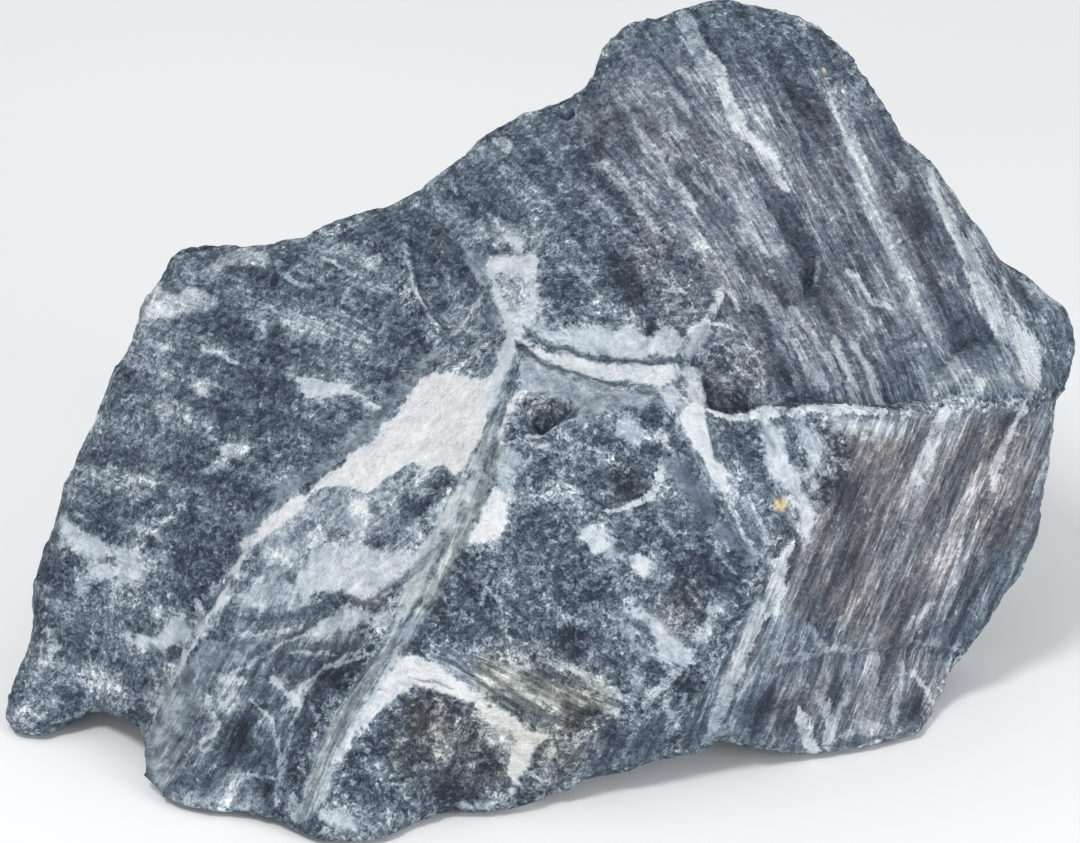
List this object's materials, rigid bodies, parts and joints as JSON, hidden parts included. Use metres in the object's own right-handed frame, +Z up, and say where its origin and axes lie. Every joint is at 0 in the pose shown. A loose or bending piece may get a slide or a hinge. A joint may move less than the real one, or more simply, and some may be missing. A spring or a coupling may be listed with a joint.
{
  "type": "natural stone",
  "caption": "Broken block of dark blue-grey banded stone with white quartz veins, a sloping top, a ledge across the front and a flat underside to stand on.",
  "frame": {"origin": "on the surface the stone stands on, under the middle of its bounding box", "axes": "+X to the viewer's right along the stone's length, +Y to the back, +Z up"},
  "size_m": [0.2172, 0.1414, 0.1307],
  "materials": {
    "banded_stone": "rough, freshly broken, dark blue-grey with white quartz veins"
  },
  "bodies": {
    "root": {"stone": "banded_stone"}
  },
  "joints": []
}
